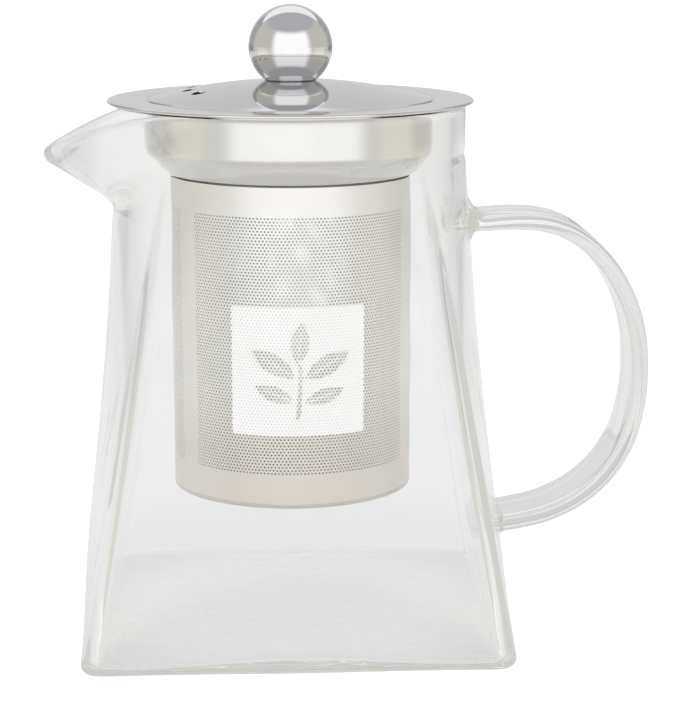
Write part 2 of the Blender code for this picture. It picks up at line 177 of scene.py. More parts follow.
def lathe(name, profile, segments, closed=True, sharp=40.0):
    """Spins an (r, z) outline round Z. An outline that isn't closed starts and ends on the axis."""
    verts, faces, rows = [], [], []
    for r, z in profile:
        if r < 1e-6:
            rows.append([len(verts)])
            verts.append((0.0, 0.0, z))
        else:
            rows.append(list(range(len(verts), len(verts) + segments)))
            verts += [(r * cos(2 * pi * k / segments), r * sin(2 * pi * k / segments), z)
                      for k in range(segments)]
    pairs = list(zip(rows, rows[1:])) + ([(rows[-1], rows[0])] if closed else [])
    for a, b in pairs:
        for k in range(segments):
            m = (k + 1) % segments
            quad = [a[k % len(a)], a[m % len(a)], b[m % len(b)], b[k % len(b)]]
            face = []
            for v in quad:
                if v not in face:
                    face.append(v)
            if len(face) > 2:
                faces.append(face)
    return to_mesh(name, verts, faces, sharp)


# ------------------------------------------------------------------ node helpers
class Nodes:
    """Short calls for building a node tree."""

    def __init__(self, tree):
        self.tree = tree

    def new(self, kind, **settings):
        node = self.tree.nodes.new(kind)
        for key, value in settings.items():
            setattr(node, key, value)
        return node

    def link(self, a, b):
        self.tree.links.new(a, b)

    def put(self, socket, value):
        if isinstance(value, bpy.types.NodeSocket):
            self.link(value, socket)
        else:
            socket.default_value = value

    def math(self, op, a, b=0.0, clamp=False):
        node = self.new("ShaderNodeMath", operation=op, use_clamp=clamp)
        self.put(node.inputs[0], a)
        self.put(node.inputs[1], b)
        return node.outputs[0]

    def combine(self, x, y, z):
        node = self.new("ShaderNodeCombineXYZ")
        for socket, value in zip(node.inputs, (x, y, z)):
            self.put(socket, value)
        return node.outputs[0]

    def ramp(self, value, lo, hi, out_lo=0.0, out_hi=1.0, smooth=True):
        node = self.new("ShaderNodeMapRange", interpolation_type="SMOOTHSTEP" if smooth else "LINEAR")
        for socket, v in zip(node.inputs, (value, lo, hi, out_lo, out_hi)):
            self.put(socket, v)
        return node.outputs[0]

    def noise(self, vector, scale, detail=3.0, rough=0.5):
        node = self.new("ShaderNodeTexNoise")
        self.put(node.inputs["Vector"], vector)
        node.inputs["Scale"].default_value = scale
        node.inputs["Detail"].default_value = detail
        node.inputs["Roughness"].default_value = rough
        return node.outputs["Fac"]

    def colour(self, fac, a, b):
        node = self.new("ShaderNodeMix", data_type="RGBA")
        self.put(node.inputs[0], fac)
        for socket, v in ((node.inputs[6], a), (node.inputs[7], b)):
            self.put(socket, (*v, 1.0) if isinstance(v, tuple) else v)
        return node.outputs[2]

    def bump(self, height, strength, distance):
        node = self.new("ShaderNodeBump")
        node.inputs["Strength"].default_value = strength
        node.inputs["Distance"].default_value = distance
        self.put(node.inputs["Height"], height)
        return node.outputs["Normal"]


def new_material(name):
    mat = bpy.data.materials.new(name)
    mat.use_nodes = True
    nodes = Nodes(mat.node_tree)
    return mat, nodes, mat.node_tree.nodes["Principled BSDF"]


def object_axes(n):
    """Object coordinates in mm: x, y, z and the distance from the axis."""
    coord = n.new("ShaderNodeTexCoord").outputs["Object"]
    scale = n.new("ShaderNodeVectorMath", operation="SCALE")
    n.put(scale.inputs[0], coord)
    scale.inputs["Scale"].default_value = 1000.0
    sep = n.new("ShaderNodeSeparateXYZ")
    n.put(sep.inputs[0], scale.outputs[0])
    x, y, z = sep.outputs
    r = n.math("SQRT", n.math("ADD", n.math("MULTIPLY", x, x), n.math("MULTIPLY", y, y)))
    return scale.outputs[0], x, y, z, r


def steel(name, colour, rough, spread, lines, line_bump, tint=0.04, aniso=0.0):
    """Stainless steel with fine turning lines round the axis and faint smudges."""
    mat, n, s = new_material(name)
    vec, x, y, z, r = object_axes(n)
    ring = n.combine(n.math("ADD", n.math("MULTIPLY", r, lines), n.math("MULTIPLY", x, 0.02)),
                     n.math("ADD", n.math("MULTIPLY", z, lines), n.math("MULTIPLY", y, 0.02)), 0.0)
    fine = n.noise(ring, 1.0, 4.0, 0.6)
    smudge = n.noise(vec, 0.09, 3.0, 0.55)
    both = n.math("ADD", n.math("MULTIPLY", fine, 0.6), n.math("MULTIPLY", smudge, 0.4))
    n.put(s.inputs["Roughness"], n.ramp(both, 0.3, 0.7, rough - spread, rough + spread))
    dark = tuple(c * (1 - tint) for c in colour)
    light = tuple(min(1.0, c * (1 + tint)) for c in colour)
    n.put(s.inputs["Base Color"], n.colour(both, dark, light))
    s.inputs["Metallic"].default_value = 1.0
    s.inputs["Anisotropic"].default_value = aniso
    n.put(s.inputs["Normal"], n.bump(fine, line_bump, 0.0002))
    return mat


# ------------------------------------------------------------------ materials
def glass_material(name, clear, density, tint, piped):
    """Clear blown glass: faint drawn waviness, a tint that grows with thickness."""
    mat, n, s = new_material(name)
    vec, x, y, z, r = object_axes(n)
    strap = n.ramp(n.math("ADD", x, n.math("MULTIPLY", z, 0.076)), 53.4, 54.8)
    lip = n.math("MULTIPLY", n.ramp(n.math("MULTIPLY", x, -1.0), 45.5, 50.0), n.ramp(z, 105.0, 109.0))
    n.put(s.inputs["Base Color"], n.colour(strap, n.colour(lip, clear, tuple(c - 0.065 for c in clear)),
                                           tuple(c - 0.10 for c in clear)))
    s.inputs["Transmission Weight"].default_value = 1.0
    s.inputs["IOR"].default_value = 1.47
    s.inputs["Metallic"].default_value = 0.0
    smear = n.noise(n.combine(x, y, n.math("MULTIPLY", z, 0.4)), 0.12, 3.0, 0.6)
    n.put(s.inputs["Roughness"], n.ramp(smear, 0.35, 0.8, 0.0, 0.012))
    wave = n.noise(n.combine(x, y, n.math("MULTIPLY", z, 0.3)), 0.07, 2.0, 0.4)
    n.put(s.inputs["Normal"], n.bump(wave, 0.04, 0.004))
    path = n.new("ShaderNodeLightPath")
    # painted glow: past six bounces the glass turns into a pale emission, standing in for the light piped along the
    # thick wall
    pale = n.new("ShaderNodeEmission")
    pale.inputs["Color"].default_value = (*piped, 1.0)
    pale.inputs["Strength"].default_value = 1.0
    deep = n.new("ShaderNodeMixShader")
    n.put(deep.inputs[0], n.ramp(path.outputs["Ray Depth"], 6.0, 13.0, 0.0, 1.0, False))
    n.put(deep.inputs[1], s.outputs[0])
    n.put(deep.inputs[2], pale.outputs[0])
    # lamps shine through it, so that what stands inside isn't in a black shadow
    see = n.new("ShaderNodeBsdfTransparent")
    see.inputs["Color"].default_value = (0.96, 0.965, 0.96, 1.0)
    mix = n.new("ShaderNodeMixShader")
    out = mat.node_tree.nodes["Material Output"]
    n.put(mix.inputs[0], path.outputs["Is Shadow Ray"])
    n.put(mix.inputs[1], deep.outputs[0])
    n.put(mix.inputs[2], see.outputs[0])
    n.put(out.inputs["Surface"], mix.outputs[0])
    take = n.new("ShaderNodeVolumeAbsorption")
    take.inputs["Color"].default_value = (*tint, 1.0)
    take.inputs["Density"].default_value = density
    n.put(out.inputs["Volume"], take.outputs[0])
    return mat


def seat_material():
    """A thin ring under the brim with painted shade: black patches on both sides of the front stand in for the dark gap
    above the glass rim.
    """
    mat, n, s = new_material("seat_steel")
    vec, x, y, z, r = object_axes(n)
    turn = n.math("ABSOLUTE", n.math("ARCTAN2", x, n.math("MULTIPLY", y, -1.0)))
    # painted shade of the gap between brim and glass: black from 20 to 60 degrees either side of the front
    gap_shade = n.math("MULTIPLY", n.ramp(turn, radians(20), radians(28)), n.ramp(turn, radians(44), radians(60), 1.0, 0.0))
    smudge = n.noise(vec, 0.5, 3.0, 0.6)
    n.put(s.inputs["Base Color"], n.colour(gap_shade, n.colour(smudge, (0.62, 0.61, 0.59), (0.72, 0.71, 0.69)), (0.035, 0.03, 0.025)))
    s.inputs["Metallic"].default_value = 1.0
    n.put(s.inputs["Roughness"], n.ramp(smudge, 0.3, 0.8, 0.3, 0.45))
    return mat


def leaf(n, a, b, cx, cy, angle, length, width):
    """1 inside a pointed leaf, with a thin rib left open."""
    c, s = cos(radians(angle)), sin(radians(angle))
    u, v = n.math("SUBTRACT", a, cx), n.math("SUBTRACT", b, cy)
    along = n.math("ADD", n.math("MULTIPLY", u, c), n.math("MULTIPLY", v, s))
    across = n.math("ABSOLUTE", n.math("SUBTRACT", n.math("MULTIPLY", v, c), n.math("MULTIPLY", u, s)))
    share = n.math("DIVIDE", along, length)
    edge = n.math("MULTIPLY", n.math("SUBTRACT", 1.0, n.math("MULTIPLY", share, share)), width)
    body = n.ramp(n.math("SUBTRACT", edge, across), -0.008, 0.008)
    rib = n.ramp(across, 0.010, 0.022)
    open_end = n.ramp(share, 0.45, 0.6)
    return n.math("MULTIPLY", body, n.math("MAXIMUM", rib, open_end))


def sleeve_material():
    """Perforated sheet: rolled satin steel with a white printed square that leaves a sprig bare."""
    mat, n, s = new_material("sleeve_steel")
    vec, x, y, z, r = object_axes(n)
    grain = n.noise(n.combine(n.math("MULTIPLY", x, 0.05), n.math("MULTIPLY", y, 0.05),
                              n.math("MULTIPLY", z, 2.2)), 1.0, 4.0, 0.6)
    smudge = n.noise(vec, 0.08, 3.0, 0.5)
    both = n.math("ADD", n.math("MULTIPLY", grain, 0.5), n.math("MULTIPLY", smudge, 0.5))
    # darker and warmer low on the tube, lighter above
    metal = n.colour(n.ramp(z, 45.0, 66.0), n.colour(both, (0.79, 0.75, 0.695), (0.86, 0.815, 0.76)),
                     n.colour(both, (0.88, 0.865, 0.83), (0.95, 0.935, 0.905)))

    arc = n.math("MULTIPLY", n.math("ARCTAN2", x, n.math("MULTIPLY", y, -1.0)), SLEEVE_R)
    a = n.math("DIVIDE", n.math("SUBTRACT", arc, PRINT_TURN * SLEEVE_R), PRINT_WIDE)
    b = n.math("DIVIDE", n.math("SUBTRACT", z, PRINT_Z), PRINT_HIGH)
    square = n.ramp(n.math("MAXIMUM", n.math("ABSOLUTE", a), n.math("ABSOLUTE", b)), 0.994, 1.006, 1.0, 0.0)
    shapes = [leaf(n, a, b, *item) for item in LEAVES]
    bend = n.math("MULTIPLY", n.math("MULTIPLY", b, b), 0.07)
    stem_gap = n.math("ABSOLUTE", n.math("ADD", a, n.math("SUBTRACT", bend, 0.02)))
    stem = n.math("MULTIPLY", n.ramp(stem_gap, 0.022, 0.036, 1.0, 0.0),
                  n.math("MULTIPLY", n.ramp(b, -0.74, -0.71), n.ramp(b, 0.10, 0.13, 1.0, 0.0)))
    motif = stem
    for shape in shapes:
        motif = n.math("MAXIMUM", motif, shape)
    outside = n.ramp(r, SLEEVE_R - 0.16, SLEEVE_R - 0.08)
    # painted shade: the walls of the etched holes are painted dark
    wall = n.math("MULTIPLY", n.ramp(r, SLEEVE_R - 0.06, SLEEVE_R - 0.02, 1.0, 0.0),
                  n.ramp(r, SLEEVE_R - SLEEVE_SHEET + 0.02, SLEEVE_R - SLEEVE_SHEET + 0.06))
    metal = n.colour(wall, metal, (0.34, 0.33, 0.31))
    # painted shade: the inside face of the sheet is painted darker and warmer
    metal = n.colour(n.ramp(r, SLEEVE_R - SLEEVE_SHEET + 0.015, SLEEVE_R - SLEEVE_SHEET + 0.03, 1.0, 0.0), metal, (0.52, 0.485, 0.44))
    ink = n.math("MULTIPLY", n.math("MULTIPLY", square, n.math("SUBTRACT", 1.0, motif)), outside)
    wear = n.ramp(n.noise(vec, 0.9, 4.0, 0.6), 0.25, 0.5, 0.93, 1.0)
    ink = n.math("MULTIPLY", ink, wear)
    n.put(s.inputs["Base Color"], n.colour(ink, metal, (0.97, 0.97, 0.97)))
    n.put(s.inputs["Metallic"], n.math("SUBTRACT", 1.0, ink))
    n.put(s.inputs["Roughness"], n.math("ADD", n.ramp(both, 0.3, 0.7, 0.36, 0.46), n.math("MULTIPLY", ink, 0.2)))
    n.put(s.inputs["Normal"], n.bump(grain, 0.04, 0.0002))
    s.inputs["Anisotropic"].default_value = 0.0
    return mat


GLASS = glass_material("pot_glass", (0.975, 0.978, 0.978), 8.0, (0.895, 0.90, 0.845), (0.775, 0.78, 0.74))
COLLAR = steel("collar_steel", (0.72, 0.712, 0.69), 0.12, 0.04, 3.0, 0.015)
CAP = steel("cap_steel", (0.65, 0.615, 0.555), 0.28, 0.06, 3.0, 0.05)
DOME = steel("dome_steel", (0.70, 0.70, 0.71), 0.024, 0.014, 5.0, 0.004, 0.02)
BALL = steel("ball_steel", (0.73, 0.725, 0.725), 0.022, 0.012, 1.2, 0.004, 0.02)
SEAT = seat_material()
SKIRT = steel("skirt_steel", (0.68, 0.67, 0.66), 0.26, 0.06, 3.0, 0.05)
HARDWARE = steel("hardware_steel", (0.58, 0.58, 0.59), 0.30, 0.08, 2.5, 0.08)
SLEEVE = sleeve_material()


# ------------------------------------------------------------------ glass pot
def curve_at(table, x):
    n = len(table)
    if x <= table[0][0]:
        return table[0][1]
    if x >= table[-1][0]:
        return table[-1][1]
    i = max(k for k in range(n - 1) if table[k][0] <= x)

    def slope(k):
        if k == 0 or k == n - 1:
            a, b = (0, 1) if k == 0 else (n - 2, n - 1)
        else:
            a, b = k - 1, k + 1
        return (table[b][1] - table[a][1]) / (table[b][0] - table[a][0])

    x0, y0 = table[i]
    x1, y1 = table[i + 1]
    h = x1 - x0
    t = (x - x0) / h
    return ((2 * t**3 - 3 * t**2 + 1) * y0 + (t**3 - 2 * t**2 + t) * h * slope(i)
            + (3 * t**2 - 2 * t**3) * y1 + (t**3 - t**2) * h * slope(i + 1))


def section(z, angle, inset, soft):
    """Distance from the axis to a square with bowed sides and eased corners, moved in by inset."""
    half = curve_at(BODY_HALF, z)
    up = min(z / EDGE_TOP, 1.0)
    edge = EDGE_FOOT + (MOUTH_R / sqrt(2) - EDGE_FOOT) * up
    soft_out = EDGE_SOFT * max(0.0, 1 - z / (EDGE_TOP - 6))
    soft = soft * max(0.0, 1 - z / (EDGE_TOP - 6))
    edge = min(edge + soft_out / (4 * sqrt(2)), half - 0.05)
    bow = (edge**2 + (half - edge) ** 2) / (2 * (half - edge))

    def side(t):
        return (half - bow) * cos(t) + sqrt(max((bow - inset) ** 2 - ((half - bow) * sin(t)) ** 2, 0.0))

    fold = abs((angle + pi / 4) % (pi / 2) - pi / 4)
    a, b = side(fold), side(pi / 2 - fold)
    ease = max(soft - abs(a - b), 0.0) / soft if soft > 1e-6 else 0.0
    return min(a, b) - ease * ease * soft / 4


def lip_angle(angle):
    return abs(atan2(sin(angle), -cos(angle)))


def lip_reach(angle):
    spread = acos(MOUTH_R / LIP_SHARP)
    d = hypot(lip_angle(angle), radians(LIP_ROUND))
    return MOUTH_R / cos(spread - d) if d < spread else MOUTH_R


def rim_height(angle):
    sag = min(1.0, degrees(lip_angle(angle)) / LIP_SAG_SPAN)
    return (BODY_RIM_Z - LIP_SLOPE * (lip_reach(angle) - MOUTH_R)
            - LIP_SAG * cos(pi / 2 * sag) ** 2
            + LIP_RISE * max(0.0, 1 - (degrees(lip_angle(angle)) / LIP_RISE_SPAN) ** 2) ** 1.5)


def rim_round(angle):
    """Height of the fire-polished rounding, fuller at the lip."""
    return RIM_ROUND + 0.75 * (lip_reach(angle) - MOUTH_R) / (LIP_TIP - MOUTH_R)


def lip_share(z, start, end, blunt):
    """How much of the lip's reach is drawn out at a height: a bend, a straight, and a blunt end."""
    t = (z - start) / (end - start)
    if t <= 0:
        return 0.0
    soft = 0.12
    share = (sqrt(t * t + soft * soft) - soft) / (sqrt(1 + soft * soft) - soft) * (1 + blunt)
    near = min(1.0, max(0.0, 0.5 + 0.5 * (1 - share) / blunt))
    return 1 - near + near * share - blunt * near * (1 - near)


def outer_radius(z, angle):
    base = section(z, angle, 0.0, EDGE_SOFT)
    if z < BODY_FOOT_FILLET:
        corner = 0.5 - 0.5 * cos(4 * angle)
        fillet = BODY_FOOT_FILLET - sqrt(max(BODY_FOOT_FILLET**2 - (BODY_FOOT_FILLET - z)**2, 0))
        base -= fillet * (1 + 0.45 * corner)
    grow = lip_reach(angle) - MOUTH_R
    return base + grow * lip_share(z, LIP_START_Z, rim_height(angle) - rim_round(angle), 0.14)


def inner_radius(z, angle):
    base = section(z, angle, curve_at(BODY_WALL, z), EDGE_SOFT * 1.5)
    rise = z - BODY_FLOOR
    if rise < FLOOR_FILLET:
        base -= FLOOR_FILLET - sqrt(max(FLOOR_FILLET**2 - (FLOOR_FILLET - rise)**2, 0))
    grow = lip_reach(angle) - MOUTH_R
    grow -= LIP_EXTRA_WALL * grow / (LIP_TIP - MOUTH_R)
    return base + grow * lip_share(z, LIP_START_Z + 0.4, rim_height(angle) - rim_round(angle), 0.05)


def body_angles(count):
    fine = 5760

    def weight(angle):
        corner = abs((degrees(angle) + 45.0) % 90.0 - 45.0)
        lip = degrees(lip_angle(angle))
        return 1.0 + 6.0 * max(0.0, 1 - (45.0 - corner) / 7.0) + 3.0 * max(0.0, 1 - lip / 24.0)

    total, sums = 0.0, []
    for i in range(fine):
        total += weight(2 * pi * (i + 0.5) / fine)
        sums.append(total)
    angles, k = [], 0
    for j in range(count):
        want = total * j / count
        while k < fine and sums[k] < want:
            k += 1
        angles.append(2 * pi * k / fine)
    return angles


def floor_ripple(angle, z):
    """Small unevenness of the inside near the floor, as left by blowing into a square mould."""
    low = max(0.0, 1 - (z - BODY_FLOOR) / 16.0)
    return 0.3 * low * (0.16 * sin(9 * angle + 0.8) + 0.12 * sin(17 * angle + 2.1)
                         + 0.10 * sin(31 * angle + 0.35 * z) + 0.07 * sin(47 * angle - 0.5 * z + 1.0))


def floor_lift(angle, z):
    """The floor stands a little higher along the sides than in the corners."""
    up = min(1.0, max(0.0, 1 - (z - BODY_FLOOR) / 14.0))
    return 0.75 * cos(4 * angle) * up * up * (3 - 2 * up)


def pot_verts():
    count = 264
    angles = body_angles(count)
    rings = []
    for share in (0.55, 0.9, 0.985):
        rings.append([(outer_radius(0.0, a) * share, 0.0) for a in angles])
    foot = [BODY_FOOT_FILLET * (1 - cos(radians(t))) for t in (0, 15, 30, 45, 60, 75, 90)]
    levels = foot + list(np.linspace(4.5, 104, 44))
    for z in levels:
        rings.append([(outer_radius(z, a), z) for a in angles])
    upper = np.linspace(0, 1, 19)[1:]
    for t in upper:
        rings.append([(outer_radius(104 + t * (rim_height(a) - rim_round(a) - 104), a),
                       104 + t * (rim_height(a) - rim_round(a) - 104)) for a in angles])
    for k in range(1, 10):
        t = pi * k / 10
        ring = []
        for a in angles:
            z = rim_height(a) - rim_round(a)
            out, inn = outer_radius(z, a), inner_radius(z, a)
            ring.append(((out + inn) / 2 + (out - inn) / 2 * cos(t), z + rim_round(a) * sin(t)))
        rings.append(ring)
    for t in upper[::-1]:
        rings.append([(inner_radius(104 + t * (rim_height(a) - rim_round(a) - 104), a),
                       104 + t * (rim_height(a) - rim_round(a) - 104)) for a in angles])
    low = BODY_FLOOR
    inside = list(np.linspace(104, low + FLOOR_FILLET, 44))
    inside += [low + FLOOR_FILLET * (1 - sin(radians(t))) for t in (10, 20, 30, 40, 50, 60, 70, 80, 90)]
    for z in inside:
        rings.append([(inner_radius(z, a) + floor_ripple(a, z), z + floor_lift(a, z)) for a in angles])
    for share in (0.985, 0.95, 0.9, 0.8, 0.7, 0.55, 0.35):
        rings.append([(inner_radius(low, a) * share, low + floor_lift(a, low) * share**3) for a in angles])
    verts = [(r * cos(a), r * sin(a), z) for ring in rings for (r, z), a in zip(ring, angles)]
    faces = []
    for i in range(len(rings) - 1):
        for j in range(count):
            m = (j + 1) % count
            faces.append((i * count + j, i * count + m, (i + 1) * count + m, (i + 1) * count + j))
    for row, z in ((0, 0.0), (len(rings) - 1, low)):
        centre = len(verts)
        verts.append((0.0, 0.0, z))
        faces += [(row * count + j, row * count + (j + 1) % count, centre) for j in range(count)]
    return verts, faces


def line_at(points, t):
    spans = len(points) - 1
    i = min(int(t * spans), spans - 1)
    u = t * spans - i
    p = [Vector(points[min(max(i + k, 0), spans)]) for k in (-1, 0, 1, 2)]
    return 0.5 * (2 * p[1] + (p[2] - p[0]) * u
                  + (2 * p[0] - 5 * p[1] + 4 * p[2] - p[3]) * u * u
                  + (3 * p[1] - p[0] - 3 * p[2] + p[3]) * u**3)


def wall_x(y, z):
    x = 45.0
    for _ in range(12):
        a = atan2(y, x)
        x = sqrt(max(outer_radius(z, a) ** 2 - y * y, 1.0))
    return x


def handle_verts():
    """The strap, swelling where it runs into the wall, its ends inside the wall's thickness."""
    stations = 200
    verts, faces = [], []
    # one turn round a rounded strap: share of the width, of the thickness, and the way its edge is rounded
    turn = []
    for way_y, way_q, start in ((1, 1, 0), (-1, 1, 90), (-1, -1, 180), (1, -1, 270)):
        for k in range(8):
            a = radians(start + 90 * k / 7)
            turn.append((way_y, way_q, cos(a), sin(a)))
        if way_y * way_q > 0:
            turn += [(way_y * f, way_q, 0.0, way_q) for f in (0.6, 0.2, -0.2, -0.6)]
    sides = len(turn)
    sunk = 1.2
    path = [(wall_x(0, 101.4) - sunk, 101.4)] + list(HANDLE_LINE) + [(wall_x(0, 24.4) - sunk, 24.4)]
    # stations lie closer together at the two ends
    place = [0.5 - 0.5 * cos(pi * k / stations) for k in range(stations + 1)]
    place = [0.85 * p + 0.15 * k / stations for k, p in enumerate(place)]
    line = [line_at(path, t) for t in place]
    length = [0.0]
    for a, b in zip(line, line[1:]):
        length.append(length[-1] + (b - a).length)
    for k, p in enumerate(line):
        t = place[k]
        d = (line_at(path, min(t + 0.004, 1)) - line_at(path, max(t - 0.004, 0))).normalized()
        normal = Vector((-d.y, d.x))
        near_upper, near_lower = length[k] < 9.0, length[-1] - length[k] < 9.0
        thin = max(0.0, 1 - length[k] / 22.0)
        thick = HANDLE_THICK + (HANDLE_THIN - HANDLE_THICK) * thin * thin * (3 - 2 * thin)
        for way_y, way_q, cy, cq in turn:
            edge = thick / 2 - 0.12
            y = across = way_y * (HANDLE_WIDE / 2 - edge) + cy * edge
            q = deep = way_q * (thick / 2 - edge) + cq * edge
            x, z = p.x + normal.x * q, p.y + normal.y * q
            # the swelling grows with the nearness of the wall at this very point
            for _ in range(4 if near_upper or near_lower else 0):
                off = max(0.0, p.x - wall_x(y, z))
                if near_upper:
                    swell = 2.5 * max(0.0, 1 - off / 4.6) ** 2.8 if deep > 0 else 1.15 * max(0.0, 1 - off / 1.6) ** 2.5
                    wider = 0.10 * max(0.0, 1 - off / 3.0) ** 2.5
                else:
                    swell = (0.25 if deep > 0 else 0.3) * max(0.0, 1 - off / 2.2) ** 2.0
                    wider = 0.04 * max(0.0, 1 - off / 2.2) ** 2.0
                y, q = across * (1 + wider), deep * (1 + swell)
                x, z = p.x + normal.x * q, p.y + normal.y * q
            if k in (0, stations):
                x = wall_x(y, z) - sunk
            verts.append((x, y, z))
    for k in range(stations):
        for j in range(sides):
            m = (j + 1) % sides
            faces.append((k * sides + j, k * sides + m, (k + 1) * sides + m, (k + 1) * sides + j))
    faces.append(tuple(range(sides)))
    faces.append(tuple(stations * sides + j for j in range(sides)))
    return verts, faces


def make_glass():
    body = to_mesh("pot_body_part", *pot_verts(), sharp=60)
    strap = to_mesh("pot_strap_part", *handle_verts(), sharp=60)
    obj = bpy.data.objects.new("glass_pot", body)
    tool = bpy.data.objects.new("strap_tool", strap)
    for o in (obj, tool):
        bpy.context.scene.collection.objects.link(o)
    join = obj.modifiers.new("fuse", "BOOLEAN")
    join.operation = "UNION"
    join.solver = "EXACT"
    join.object = tool
    graph = bpy.context.evaluated_depsgraph_get()
    mesh = bpy.data.meshes.new_from_object(obj.evaluated_get(graph))
    bpy.data.objects.remove(obj)
    bpy.data.objects.remove(tool)
    mesh.name = "glass_pot"
    mesh.materials.clear()
    mesh.shade_smooth()
    mesh.set_sharp_from_angle(angle=radians(42))
    return add_object("glass_pot", mesh, "pot", [GLASS], ("glass_body", "glass_handle"))


# ------------------------------------------------------------------ sleeve
def bend_rings(count):
    return [k / count for k in range(count + 1)]


def inked(u, v):
    """True where the print covers a hole at this place of the unrolled sheet."""
    a, b = (u - PRINT_TURN * SLEEVE_R) / PRINT_WIDE, (v - PRINT_Z) / PRINT_HIGH
    if max(abs(a), abs(b)) > 0.99:
        return False
    if -0.74 < b < 0.12 and abs(a + 0.07 * b * b - 0.02) < 0.035:
        return False
    for cx, cy, angle, length, width in LEAVES:
        c, s = cos(radians(angle)), sin(radians(angle))
        along, across = (a - cx) * c + (b - cy) * s, abs((b - cy) * c - (a - cx) * s)
        if width * (1 - (along / length) ** 2) > across:
            return False
    return True


def sleeve_sector(name, seam_lo, lo, hi, seam_hi, replaces):
    """One third of the rolled sheet, with its real holes. Angles in degrees from the front towards +X."""
    per = 2 * pi * SLEEVE_R / 360.0
    u0, u_lo, u_hi, u1 = seam_lo * per, lo * per, hi * per, seam_hi * per
    cols = int((u_hi - u_lo) / HOLE_PITCH - 0.5)
    start = (u_lo + u_hi) / 2 - (cols - 0.5) * HOLE_PITCH / 2
    rows = int((PERF_HIGH - PERF_LOW) / ROW_PITCH) + 1
    rows -= rows % 2
    base = (PERF_LOW + PERF_HIGH) / 2 - (rows - 1) * ROW_PITCH / 2
    points, faces, holes = [], [], []
    table = {}

    def vert(key, u, v):
        if key not in table:
            table[key] = len(points)
            points.append((u, v))
        return table[key]

    hexagon = [(HOLE_R * cos(radians(30 + 60 * k)), HOLE_R * sin(radians(30 + 60 * k))) for k in range(6)]

    def centre(i, j):
        return start + (j + 0.5 * (i % 2)) * HOLE_PITCH, base + i * ROW_PITCH

    share = {(i, j): INKED_HOLE_R / HOLE_R if inked(*centre(i, j)) else 1.0
             for i in range(rows) for j in range(cols)}

    def h(i, j, k):
        u, v = centre(i, j)
        return vert((i, j, k), u + hexagon[k][0] * share[i, j], v + hexagon[k][1] * share[i, j])

    for i in range(rows):
        for j in range(cols):
            holes.append([h(i, j, k) for k in range(6)])
            if j + 1 < cols:
                faces.append((h(i, j, 5), h(i, j + 1, 3), h(i, j + 1, 2), h(i, j, 0)))
            if i + 1 < rows:
                right = j if i % 2 == 0 else j + 1
                left = right - 1
                if right < cols:
                    faces.append((h(i, j, 1), h(i, j, 0), h(i + 1, right, 4), h(i + 1, right, 3)))
                if left >= 0:
                    faces.append((h(i, j, 2), h(i, j, 1), h(i + 1, left, 5), h(i + 1, left, 4)))
                # the small triangles where three holes meet
                if j + 1 < cols and 0 <= right < cols:
                    faces.append((h(i, j, 0), h(i, j + 1, 2), h(i + 1, right, 4)))
                if right < cols and left >= 0:
                    faces.append((h(i, j, 1), h(i + 1, right, 3), h(i + 1, left, 5)))
    # straight border lines round the perforated field
    ul = start - HOLE_PITCH * 0.75
    ur = start + (cols - 0.5) * HOLE_PITCH + HOLE_PITCH * 0.75
    vb, vt = base - HOLE_PITCH * 0.75, base + (rows - 1) * ROW_PITCH + HOLE_PITCH * 0.75
    lines_v = [vb]
    for i in range(rows):
        lines_v += [base + i * ROW_PITCH + hexagon[3][1], base + i * ROW_PITCH + hexagon[2][1]]
    lines_v.append(vt)

    def side(key, i, which):
        u = ul if key == "L" else ur
        return vert((key, i, which), u, base + i * ROW_PITCH + hexagon[3 if which == 0 else 2][1])

    for i in range(rows):
        last = cols - 1
        faces.append((side("L", i, 0), h(i, 0, 3), h(i, 0, 2), side("L", i, 1)))
        faces.append((h(i, last, 5), side("R", i, 0), side("R", i, 1), h(i, last, 0)))
        if i + 1 < rows:
            if i % 2 == 0:      # the next row starts half a pitch further right
                faces.append((side("L", i, 1), h(i, 0, 2), h(i, 0, 1), h(i + 1, 0, 3), side("L", i + 1, 0)))
                faces.append((h(i, last, 0), side("R", i, 1), side("R", i + 1, 0), h(i + 1, last, 5), h(i + 1, last, 4)))
            else:
                faces.append((side("L", i, 1), h(i, 0, 2), h(i + 1, 0, 4), h(i + 1, 0, 3), side("L", i + 1, 0)))
                faces.append((h(i, last, 1), h(i, last, 0), side("R", i, 1), side("R", i + 1, 0), h(i + 1, last, 5)))
    lines_u_top = [ul] + [centre(rows - 1, j)[0] for j in range(cols)] + [ur]
    lines_u_bot = [ul] + [centre(0, j)[0] for j in range(cols)] + [ur]

    def border(which, j):
        us = lines_u_top if which == "T" else lines_u_bot
        return vert((which, j), us[j], vt if which == "T" else vb)

    top, bot = rows - 1, 0
    for j in range(cols):
        if j + 1 < cols:
            faces.append((h(top, j, 1), h(top, j, 0), h(top, j + 1, 2), h(top, j + 1, 1),
                          border("T", j + 2), border("T", j + 1)))
            faces.append((border("B", j + 1), border("B", j + 2), h(bot, j + 1, 4), h(bot, j + 1, 3),
                          h(bot, j, 5), h(bot, j, 4)))
    faces.append((side("L", top, 1), h(top, 0, 2), h(top, 0, 1), border("T", 1), border("T", 0)))
    faces.append((h(top, cols - 1, 1), h(top, cols - 1, 0), side("R", top, 1), border("T", cols + 1), border("T", cols)))
    faces.append((border("B", 0), border("B", 1), h(bot, 0, 4), h(bot, 0, 3), side("L", bot, 0)))
    faces.append((border("B", cols), border("B", cols + 1), side("R", bot, 0), h(bot, cols - 1, 5), h(bot, cols - 1, 4)))

    # plain margins, as grids that share those border points
    def left_col():
        col = [border("B", 0)]
        for i in range(rows):
            col += [side("L", i, 0), side("L", i, 1)]
        return col + [border("T", 0)]

    def right_col():
        col = [border("B", cols + 1)]
        for i in range(rows):
            col += [side("R", i, 0), side("R", i, 1)]
        return col + [border("T", cols + 1)]

